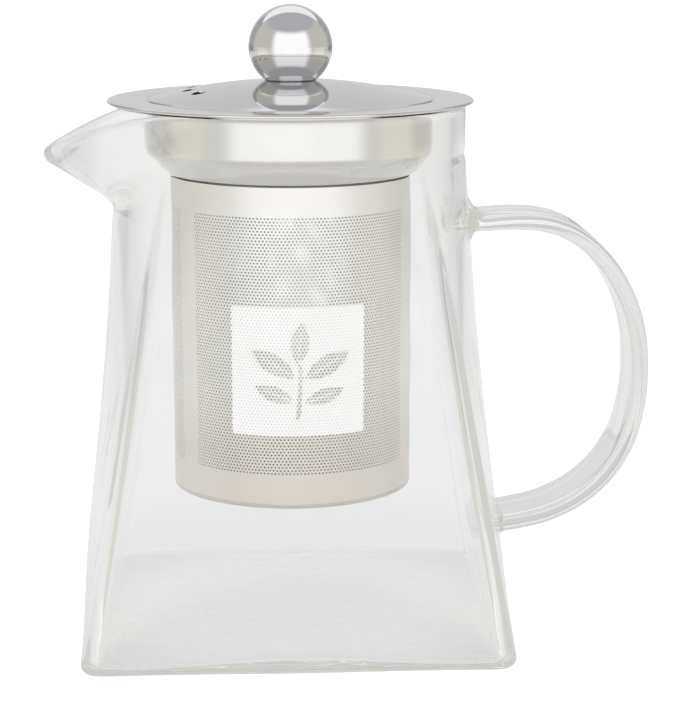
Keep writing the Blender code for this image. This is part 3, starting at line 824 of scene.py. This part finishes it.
    steps = 4
    vs = [points[k][1] for k in left_col()]
    grids = {"L": [], "R": []}
    for s in range(1, steps + 1):
        ua = ul + (u0 - ul) * s / steps
        ub = ur + (u1 - ur) * s / steps
        grids["L"].append([vert(("gl", s, k), ua, v) for k, v in enumerate(vs)])
        grids["R"].append([vert(("gr", s, k), ub, v) for k, v in enumerate(vs)])
    left_cols = [left_col()] + grids["L"]
    right_cols = [right_col()] + grids["R"]
    for a, b in zip(left_cols, left_cols[1:]):
        for k in range(len(vs) - 1):
            faces.append((b[k], a[k], a[k + 1], b[k + 1]))
    for a, b in zip(right_cols, right_cols[1:]):
        for k in range(len(vs) - 1):
            faces.append((a[k], b[k], b[k + 1], a[k + 1]))
    rim = {}
    for which, v_end, tag in (("T", SLEEVE_TOP, "t"), ("B", SLEEVE_LOW, "b")):
        pick = -1 if which == "T" else 0
        first = [c[pick] for c in left_cols[::-1]] + [border(which, j) for j in range(1, cols + 1)] \
            + [c[pick] for c in right_cols]
        us = [points[k][0] for k in first]
        v_start = points[first[0]][1]
        previous = first
        for s in range(1, steps + 1):
            v = v_start + (v_end - v_start) * s / steps
            row = [vert((tag, s, k), u, v) for k, u in enumerate(us)]
            for k in range(len(us) - 1):
                quad = (previous[k], previous[k + 1], row[k + 1], row[k])
                faces.append(quad if which == "T" else quad[::-1])
            previous = row
        rim[which] = previous
    # the four free edges of the sheet
    edge_left = [left_cols[-1][k] for k in range(len(vs))]
    edge_right = [right_cols[-1][k] for k in range(len(vs))]
    low_l = [table[("b", s, 0)] for s in range(steps, 0, -1)]
    high_l = [table[("t", s, 0)] for s in range(1, steps + 1)]
    width = len(rim["T"]) - 1
    low_r = [table[("b", s, width)] for s in range(steps, 0, -1)]
    high_r = [table[("t", s, width)] for s in range(1, steps + 1)]
    left_edge, right_edge = low_l + edge_left + high_l, low_r + edge_right + high_r

    # bend the flat sheet into the sleeve
    flat = np.array(points)
    count = len(flat)
    ang = flat[:, 0] / SLEEVE_R
    verts = []
    for radius in (SLEEVE_R, SLEEVE_R - SLEEVE_SHEET):
        verts.append(np.stack([radius * np.sin(ang), -radius * np.cos(ang), flat[:, 1]], 1))
    verts = np.concatenate(verts) * MM
    all_faces = [tuple(f) for f in faces]
    kinds = [0] * len(faces)
    all_faces += [tuple(v + count for v in f[::-1]) for f in faces]
    kinds += [1] * len(faces)
    for ring in holes:
        for k in range(6):
            a, b = ring[k], ring[(k + 1) % 6]
            all_faces.append((a, b, b + count, a + count))
    kinds += [2] * (len(all_faces) - len(kinds))
    shift = [(0.0, 0.0)] * len(all_faces)
    for loop, move in ((rim["T"], (0.0, 0.3)), (rim["B"], (0.0, -0.3)),
                       (left_edge, (-0.3, 0.0)), (right_edge, (0.3, 0.0))):
        for a, b in zip(loop, loop[1:]):
            all_faces.append((a, a + count, b + count, b))
            kinds.append(3)
            shift.append(move)
    mesh = bpy.data.meshes.new(name)
    mesh.from_pydata(verts.tolist(), [], all_faces)
    bm = bmesh.new()
    bm.from_mesh(mesh)
    bmesh.ops.recalc_face_normals(bm, faces=bm.faces)
    bm.to_mesh(mesh)
    bm.free()
    mesh.shade_smooth()
    # a map for the surface: outside on the left, inside on the right, hole walls inside the holes
    totals = np.empty(len(mesh.polygons), np.int32)
    mesh.polygons.foreach_get("loop_total", totals)
    kind_of = np.repeat(np.array(kinds), totals)
    loop_vert = np.empty(len(mesh.loops), np.int32)
    mesh.loops.foreach_get("vertex_index", loop_vert)
    origin = np.zeros((2 * count, 2))
    origin[:count] = flat
    origin[count:] = flat
    shrunk = flat.copy()
    for ring in holes:
        mid = flat[ring].mean(0)
        shrunk[ring] = mid + (flat[ring] - mid) * 0.5
    wide, high = u1 - u0, SLEEVE_TOP - SLEEVE_LOW
    unit = np.array([wide * 2.1, high * 1.04])
    inner = (loop_vert >= count)[:, None]
    place = np.where(inner & (kind_of == 2)[:, None], shrunk[loop_vert % count], origin[loop_vert])
    place = place + np.where(inner, np.repeat(np.array(shift), totals, axis=0), 0.0)
    place = (place - np.array([u0, SLEEVE_LOW])) / unit + 0.01
    place[:, 0] += np.where(kind_of == 1, 0.5, 0.0)
    layer = mesh.uv_layers.new(name="OFBake")
    layer.data.foreach_set("uv", place.astype(np.float32).ravel())
    # true cylinder normals, so that the three sheets shade as one
    where = np.empty(len(mesh.vertices) * 3, np.float32)
    mesh.vertices.foreach_get("co", where)
    where = where.reshape(-1, 3)[loop_vert]
    radial = where.copy()
    radial[:, 2] = 0
    radial /= np.linalg.norm(radial, axis=1)[:, None]
    face_normal = np.empty(len(mesh.polygons) * 3, np.float32)
    mesh.polygons.foreach_get("normal", face_normal)
    flat_n = np.repeat(face_normal.reshape(-1, 3), totals, axis=0)
    # the etched holes have eased walls
    eased = flat_n * 0.6 + np.where(inner, 0.1, 0.5) * radial
    eased /= np.linalg.norm(eased, axis=1)[:, None]
    normal = np.where((kind_of == 0)[:, None], radial, np.where((kind_of == 1)[:, None], -radial,
                      np.where((kind_of == 2)[:, None], eased, flat_n)))
    mesh.normals_split_custom_set(normal.tolist())
    return add_object(name, mesh, "infuser", [SLEEVE], replaces)


def make_sleeve():
    ends = [(PANELS[i - 1][1] - (360 if i == 0 else 0) + PANELS[i][0]) / 2 for i in range(3)]
    ends.append(ends[0] + 360)
    for i, (lo, hi) in enumerate(PANELS):
        sleeve_sector(f"sleeve_sheet_{i + 1}", ends[i], lo, hi, ends[i + 1], ("infuser_sleeve",))


# ------------------------------------------------------------------ turned pieces
def dome_z(r):
    return DOME_EDGE_Z + DOME_RISE * (1 - (r / DOME_R) ** 2)


def make_collar():
    mid = SHEET / 2
    line = rounded([(BRIM_R - mid, BRIM_TOP - 0.52, 0), (BRIM_R - mid, BRIM_TOP - mid, 0.2),
                    (COLLAR_R - mid, BRIM_TOP - mid, 1.4),
                    (COLLAR_R - mid, COLLAR_BASE + 0.1, 3.2), (CONE_R - mid, CONE_BASE + mid + 0.05, 0.35),
                    (NECK_R - mid, CONE_BASE + mid - 0.1, 0.25), (NECK_R - mid, NECK_BASE + mid, 0)], False)
    # a narrow ring under the brim, between it and the rim of the glass, that carries painted shade of the gap
    seat = rounded([(SEAT_R, BRIM_TOP - 1.3, 0.12), (SEAT_R + 0.45, BRIM_TOP - 1.3, 0.12),
                    (SEAT_R + 0.45, BRIM_TOP - 0.58, 0.05), (SEAT_R, BRIM_TOP - 0.58, 0.05)], True)
    bm = bmesh.new()
    bm.from_mesh(lathe("collar_sheet", sheet_profile(line, SHEET), 160, True, 50))
    count = len(bm.faces)
    bm.from_mesh(lathe("collar_seat", seat, 160, True, 50))
    bm.faces.ensure_lookup_table()
    for face in bm.faces[count:]:
        face.material_index = 1
    mesh = bpy.data.meshes.new("collar_shell")
    bm.to_mesh(mesh)
    bm.free()
    add_object("collar_shell", mesh, "infuser", [COLLAR, SEAT], ("infuser_collar",))


def make_bottom():
    low, edge, rim = BASKET_BASE, SLEEVE_R, SLEEVE_R - SLEEVE_SHEET - 0.3
    bead = 21.0
    line = rounded([(0, low + 0.35, 0), (bead - 2.0, low + 0.35, 1.5), (bead, low, 1.5), (edge, low, 0.6),
                    (edge, low + 1.21, 0.06), (rim, low + 1.21, 0), (rim, low + 4.0, 0.2),
                    (rim - 0.5, low + 4.0, 0.2), (rim - 0.5, low + 0.5, 0.5), (bead + 0.3, low + 0.5, 1.5),
                    (bead - 1.7, low + 0.85, 1.5), (0, low + 0.85, 0)], False)
    mesh = lathe("basket_cap", line, 160, False, 40)
    add_object("basket_cap", mesh, "infuser", [CAP], ("infuser_bottom",))


def make_dome():
    radii = list(np.linspace(2.25, DOME_R - 0.3, 46))
    line = [(r, dome_z(r) - DOME_SHEET / 2) for r in radii]
    mesh = lathe("dome_blank", sheet_profile(line, DOME_SHEET), 192, True, 40)
    obj = bpy.data.objects.new("dome_blank", mesh)
    bpy.context.scene.collection.objects.link(obj)
    tools = []
    for turn in VENT_TURNS:
        x, y = VENT_RING * cos(radians(turn)), VENT_RING * sin(radians(turn))
        bm = bmesh.new()
        bmesh.ops.create_cone(bm, cap_ends=True, segments=40, radius1=VENT_R * MM, radius2=VENT_R * MM, depth=8 * MM)
        cut = bpy.data.meshes.new("vent_tool")
        bm.to_mesh(cut)
        bm.free()
        tool = bpy.data.objects.new("vent_tool", cut)
        tool.location = (x * MM, y * MM, dome_z(hypot(x, y)) * MM)
        bpy.context.scene.collection.objects.link(tool)
        mod = obj.modifiers.new("vent", "BOOLEAN")
        mod.operation, mod.solver, mod.object = "DIFFERENCE", "EXACT", tool
        tools.append(tool)
    bpy.context.view_layer.update()
    graph = bpy.context.evaluated_depsgraph_get()
    done = bpy.data.meshes.new_from_object(obj.evaluated_get(graph))
    for o in [obj] + tools:
        bpy.data.objects.remove(o)
    done.name = "dome_shell"
    done.materials.clear()
    done.shade_smooth()
    done.set_sharp_from_angle(angle=radians(40))
    # the polished faces keep the true curve of the dome right up to the vents
    normals = []
    for poly in done.polygons:
        for index in poly.loop_indices:
            co = done.vertices[done.loops[index].vertex_index].co
            true = Vector((2 * DOME_RISE * co.x * 1000 / DOME_R**2, 2 * DOME_RISE * co.y * 1000 / DOME_R**2, 1.0)).normalized()
            if poly.normal.dot(true) > 0.97:
                normals.append(true)
            elif poly.normal.dot(true) < -0.97:
                normals.append(-true)
            else:
                normals.append(done.corner_normals[index].vector.copy())
    done.normals_split_custom_set(normals)
    add_object("dome_shell", done, "lid", [DOME], ("lid_dome",))


def make_skirt():
    top = dome_z(SKIRT_R) - DOME_SHEET - 0.25
    inner = SKIRT_R - 3.0
    line = rounded([(inner, dome_z(inner) - DOME_SHEET - 0.25, 0), (SKIRT_R - 0.25, top - 0.05, 1.0),
                    (SKIRT_R - 0.25, SKIRT_BASE + 0.25, 0)], False)
    mesh = lathe("skirt_ring", sheet_profile(line, 0.5), 128, True, 50)
    add_object("skirt_ring", mesh, "lid", [SKIRT], ("lid_skirt",))


def make_knob():
    low = BALL_FOOT - BALL_Z
    inside = BALL_R - BALL_SHEET
    out_end = atan2(low, sqrt(BALL_R**2 - low**2))
    in_end = atan2(low, sqrt(inside**2 - low**2))
    line = [(0.0, BALL_Z + BALL_R)]
    for k in range(1, 61):
        a = pi / 2 + (out_end - pi / 2) * k / 60
        line.append((BALL_R * cos(a), BALL_Z + BALL_R * sin(a)))
    for k in range(0, 30):
        a = in_end + (pi / 2 - in_end) * k / 30
        line.append((inside * cos(a), BALL_Z + inside * sin(a)))
    line.append((0.0, BALL_Z + inside))
    mesh = lathe("knob_shell", line, 128, False, 50)
    add_object("knob_shell", mesh, "lid", [BALL], ("knob_ball",))
    washer_top = dome_z(5.2) - DOME_SHEET - 0.05
    ring = rounded([(5.2, washer_top - 0.8, 0.15), (5.2, washer_top, 0.15), (2.25, washer_top, 0.1),
                    (2.25, washer_top - 0.8, 0.1)], True)
    add_object("washer_ring", lathe("washer_ring", ring, 64, True, 40), "lid", [HARDWARE], ("knob_washer",))
    head = washer_top - 0.85
    shank = rounded([(0, head - 2.3, 0), (2.6, head - 2.3, 1.4), (4.0, head - 1.0, 0.5), (4.0, head, 0.15),
                     (1.9, head, 0.1), (1.9, 141.4, 0.2), (1.5, 142.0, 0.1), (0, 142.0, 0)], False)
    mesh = lathe("screw_blank", shank, 64, False, 40)
    obj = bpy.data.objects.new("screw_blank", mesh)
    bpy.context.scene.collection.objects.link(obj)
    tools = []
    for turn in (0.0, pi / 2):
        bm = bmesh.new()
        bmesh.ops.create_cube(bm, size=1.0)
        bmesh.ops.scale(bm, vec=(4.2 * MM, 0.9 * MM, 2.4 * MM), verts=bm.verts)
        cut = bpy.data.meshes.new("drive_tool")
        bm.to_mesh(cut)
        bm.free()
        tool = bpy.data.objects.new("drive_tool", cut)
        tool.location = (0, 0, (head - 2.3) * MM)
        tool.rotation_euler = (0, 0, turn)
        bpy.context.scene.collection.objects.link(tool)
        mod = obj.modifiers.new("drive", "BOOLEAN")
        mod.operation, mod.solver, mod.object = "DIFFERENCE", "EXACT", tool
        tools.append(tool)
    bpy.context.view_layer.update()
    graph = bpy.context.evaluated_depsgraph_get()
    done = bpy.data.meshes.new_from_object(obj.evaluated_get(graph))
    for o in [obj] + tools:
        bpy.data.objects.remove(o)
    done.name = "screw_pan_head"
    done.materials.clear()
    done.shade_smooth()
    done.set_sharp_from_angle(angle=radians(30))
    add_object("screw_pan_head", done, "lid", [HARDWARE], ("knob_screw",))
    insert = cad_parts["knob_insert"]
    insert.data.materials.clear()
    insert.data.materials.append(HARDWARE)


make_glass()
make_sleeve()
make_collar()
make_bottom()
make_dome()
make_skirt()
make_knob()


# ------------------------------------------------------------------ stage
def make_stage():
    """A pale floor that glows evenly white to the camera; for the light it gives the object it carries painted light
    and shade: a painted pool of light, brighter where the light behind the camera falls on it, a painted contact shadow
    and a painted shadow in front.
    """
    mat = bpy.data.materials.new("floor_white")
    mat.use_nodes = True
    n = Nodes(mat.node_tree)
    mat.node_tree.nodes.remove(mat.node_tree.nodes["Principled BSDF"])
    sep = n.new("ShaderNodeSeparateXYZ")
    n.put(sep.inputs[0], n.new("ShaderNodeTexCoord").outputs["Object"])
    x, y = sep.outputs[0], sep.outputs[1]
    reach = n.math("SQRT", n.math("ADD", n.math("MULTIPLY", x, x), n.math("MULTIPLY", y, y)))
    side = n.math("ARCTAN2", x, n.math("MULTIPLY", y, -1.0))
    turn = n.math("ABSOLUTE", side)
    # a painted pool of light on the floor in front of the object
    away = n.ramp(reach, 0.20, 0.62)
    pool = n.ramp(n.math("ABSOLUTE", n.math("SUBTRACT", side, radians(2))), radians(42), radians(60), 1.0, 0.0)
    core = n.ramp(n.math("ABSOLUTE", n.math("ADD", side, radians(5))), radians(14), radians(24), 1.0, 0.0)
    pool = n.math("MULTIPLY", n.math("ADD", n.math("MULTIPLY", pool, POOL_GLOW), n.math("MULTIPLY", core, 0.05)), away)
    beside = n.math("MULTIPLY", n.ramp(turn, radians(55), radians(75)), n.ramp(turn, radians(115), radians(145), 1.0, 0.0))
    beside = n.math("MULTIPLY", beside, n.ramp(reach, 0.2, 0.5))
    path = n.new("ShaderNodeLightPath")
    flank = n.math("MULTIPLY", n.ramp(turn, radians(62), radians(78)), n.ramp(turn, radians(98), radians(108), 1.0, 0.0))
    flank = n.math("MULTIPLY", flank, n.ramp(reach, 0.2, 0.5))
    wings = n.math("MULTIPLY", n.ramp(turn, radians(102), radians(114)), n.ramp(n.math("ABSOLUTE", x), 0.12, 0.32))
    # painted light right under the object and a painted contact shadow in a ring round it
    under = n.ramp(reach, 0.03, 0.06, 1.0, 0.0)
    ring = n.math("MULTIPLY", n.ramp(reach, 0.045, 0.065), n.ramp(reach, 0.09, 0.15, 1.0, 0.0))
    rear = n.math("MULTIPLY", n.ramp(reach, 0.28, 0.5), n.ramp(turn, radians(150), radians(165)))
    # seen in a mirror that stands free, not through the glass
    straight = n.math("MULTIPLY", path.outputs["Is Glossy Ray"],
                      n.math("SUBTRACT", 1.0, n.math("MINIMUM", path.outputs["Transmission Depth"], 1.0)))
    rim = n.math("MULTIPLY", n.math("MULTIPLY", n.ramp(reach, 0.95, 1.3), n.ramp(turn, radians(115), radians(135))), straight)
    far = n.math("MULTIPLY", n.ramp(reach, 0.75, 1.0),
                 n.math("MULTIPLY", n.ramp(turn, radians(54), radians(62)), n.ramp(turn, radians(135), radians(150), 1.0, 0.0)))
    # a painted shadow, warm in tone, on the floor just in front of the object
    near = n.math("MULTIPLY", n.math("MULTIPLY", n.ramp(reach, 0.08, 0.14), n.ramp(reach, 0.25, 0.45, 1.0, 0.0)),
                  n.ramp(turn, radians(55), radians(80), 1.0, 0.0))
    glow = FLOOR_GLOW
    for part, amount in ((beside, 0.04), (flank, 0.12), (wings, -0.07), (under, 0.06), (ring, -0.04), (far, -0.14),
                         (rear, 0.055), (rim, -0.38), (near, -0.09),
                         (pool, 1.0), (path.outputs["Is Camera Ray"], 0.45)):
        glow = n.math("ADD", glow, n.math("MULTIPLY", part, amount))
    unseen = n.math("SUBTRACT", 1.0, path.outputs["Is Camera Ray"])
    tone = n.colour(n.math("MULTIPLY", beside, unseen), (1.0, 1.0, 1.0), (1.0, 0.965, 0.87))
    tone = n.colour(n.math("MULTIPLY", near, unseen), tone, (1.0, 0.94, 0.865))
    shine = n.new("ShaderNodeEmission")
    n.put(shine.inputs["Color"], tone)
    n.put(shine.inputs["Strength"], glow)
    dull = n.new("ShaderNodeBsdfDiffuse")
    dull.inputs["Color"].default_value = (0.14, 0.14, 0.14, 1.0)
    both = n.new("ShaderNodeAddShader")
    n.put(both.inputs[0], shine.outputs[0])
    n.put(both.inputs[1], dull.outputs[0])
    n.put(mat.node_tree.nodes["Material Output"].inputs["Surface"], both.outputs[0])
    bm = bmesh.new()
    bmesh.ops.create_circle(bm, cap_ends=True, segments=96, radius=4.0)
    mesh = bpy.data.meshes.new("floor")
    bm.to_mesh(mesh)
    bm.free()
    mesh.materials.append(mat)
    floor = bpy.data.objects.new("floor", mesh)
    floor.location = (0, 0, -0.0003)
    bpy.context.scene.collection.objects.link(floor)


def make_world():
    """A white studio: pale walls, a wide softbox behind the camera and one overhead."""
    world = bpy.data.worlds.new("studio")
    bpy.context.scene.world = world
    world.use_nodes = True
    n = Nodes(world.node_tree)
    back = world.node_tree.nodes["Background"]
    sep = n.new("ShaderNodeSeparateXYZ")
    n.put(sep.inputs[0], n.new("ShaderNodeTexCoord").outputs["Generated"])
    x, y, z = sep.outputs
    high = n.math("ARCSINE", z)
    turn = n.math("ABSOLUTE", n.math("ARCTAN2", x, n.math("MULTIPLY", y, -1.0)))
    # pale walls, warmer beside the object
    beside = n.math("MULTIPLY", n.ramp(turn, radians(50), radians(70)), n.ramp(turn, radians(110), radians(130), 1.0, 0.0))
    light = n.colour(beside, (0.69, 0.69, 0.695), (0.68, 0.66, 0.61))
    # dim corners of the room behind the object
    dim = n.math("MULTIPLY", n.math("MULTIPLY", n.ramp(turn, radians(116), radians(128)), n.ramp(turn, radians(150), radians(160), 1.0, 0.0)),
                 n.ramp(high, radians(28), radians(40), 1.0, 0.0))
    path = n.new("ShaderNodeLightPath")
    straight = n.math("MULTIPLY", path.outputs["Is Glossy Ray"],
                      n.math("SUBTRACT", 1.0, n.math("MINIMUM", path.outputs["Transmission Depth"], 1.0)))
    light = n.colour(n.math("MULTIPLY", dim, n.math("ADD", 0.65, n.math("MULTIPLY", straight, 0.35))), light, (0.46, 0.46, 0.475))
    # a darker ceiling
    light = n.colour(n.ramp(z, 0.60, 0.75), light, (0.54, 0.54, 0.57))
    # the softbox behind the camera and the scrim high up behind the object
    box = n.math("MULTIPLY", n.ramp(turn, radians(41), radians(60), 1.0, 0.0),
                 n.math("MULTIPLY", n.ramp(high, radians(32), radians(47), 1.0, 0.0), n.ramp(high, radians(-40), radians(-10))))
    light = n.colour(box, light, (BOX_GLOW, BOX_GLOW, BOX_GLOW))
    toward = n.math("ADD", n.math("MULTIPLY", y, 0.9135), n.math("MULTIPLY", z, 0.4067))
    scrim = n.math("MULTIPLY", n.ramp(toward, 0.67, 0.70), n.ramp(high, radians(31), radians(35)))
    light = n.colour(scrim, light, (1.12, 1.12, 1.13))
    n.put(back.inputs["Color"], n.colour(path.outputs["Is Camera Ray"], light, (1.0, 1.0, 1.0)))
    n.put(back.inputs["Strength"], n.math("ADD", 1.0, n.math("MULTIPLY", n.math("MINIMUM", path.outputs["Diffuse Depth"], 1.0), 0.82)))


def make_camera():
    data = bpy.data.cameras.new("photo_camera")
    cam = bpy.data.objects.new("photo_camera", data)
    bpy.context.scene.collection.objects.link(cam)
    cam.location = (-0.01860, -0.57094, 0.18373)
    cam.rotation_euler = (radians(90 - 11.696), 0.0, radians(-3.088))
    data.sensor_width = 36.0
    data.lens = 2307.944 * 36.0 / 723.0
    data.clip_start, data.clip_end = 0.01, 50.0
    bpy.context.scene.camera = cam


make_stage()
make_world()
make_camera()

scene = bpy.context.scene
scene.view_settings.view_transform = "Standard"
scene.view_settings.look = "None"
scene.cycles.max_bounces = 24
scene.cycles.transmission_bounces = 20
scene.cycles.transparent_max_bounces = 24
scene.cycles.glossy_bounces = 8
scene.cycles.diffuse_bounces = 4
scene.cycles.use_denoising = True
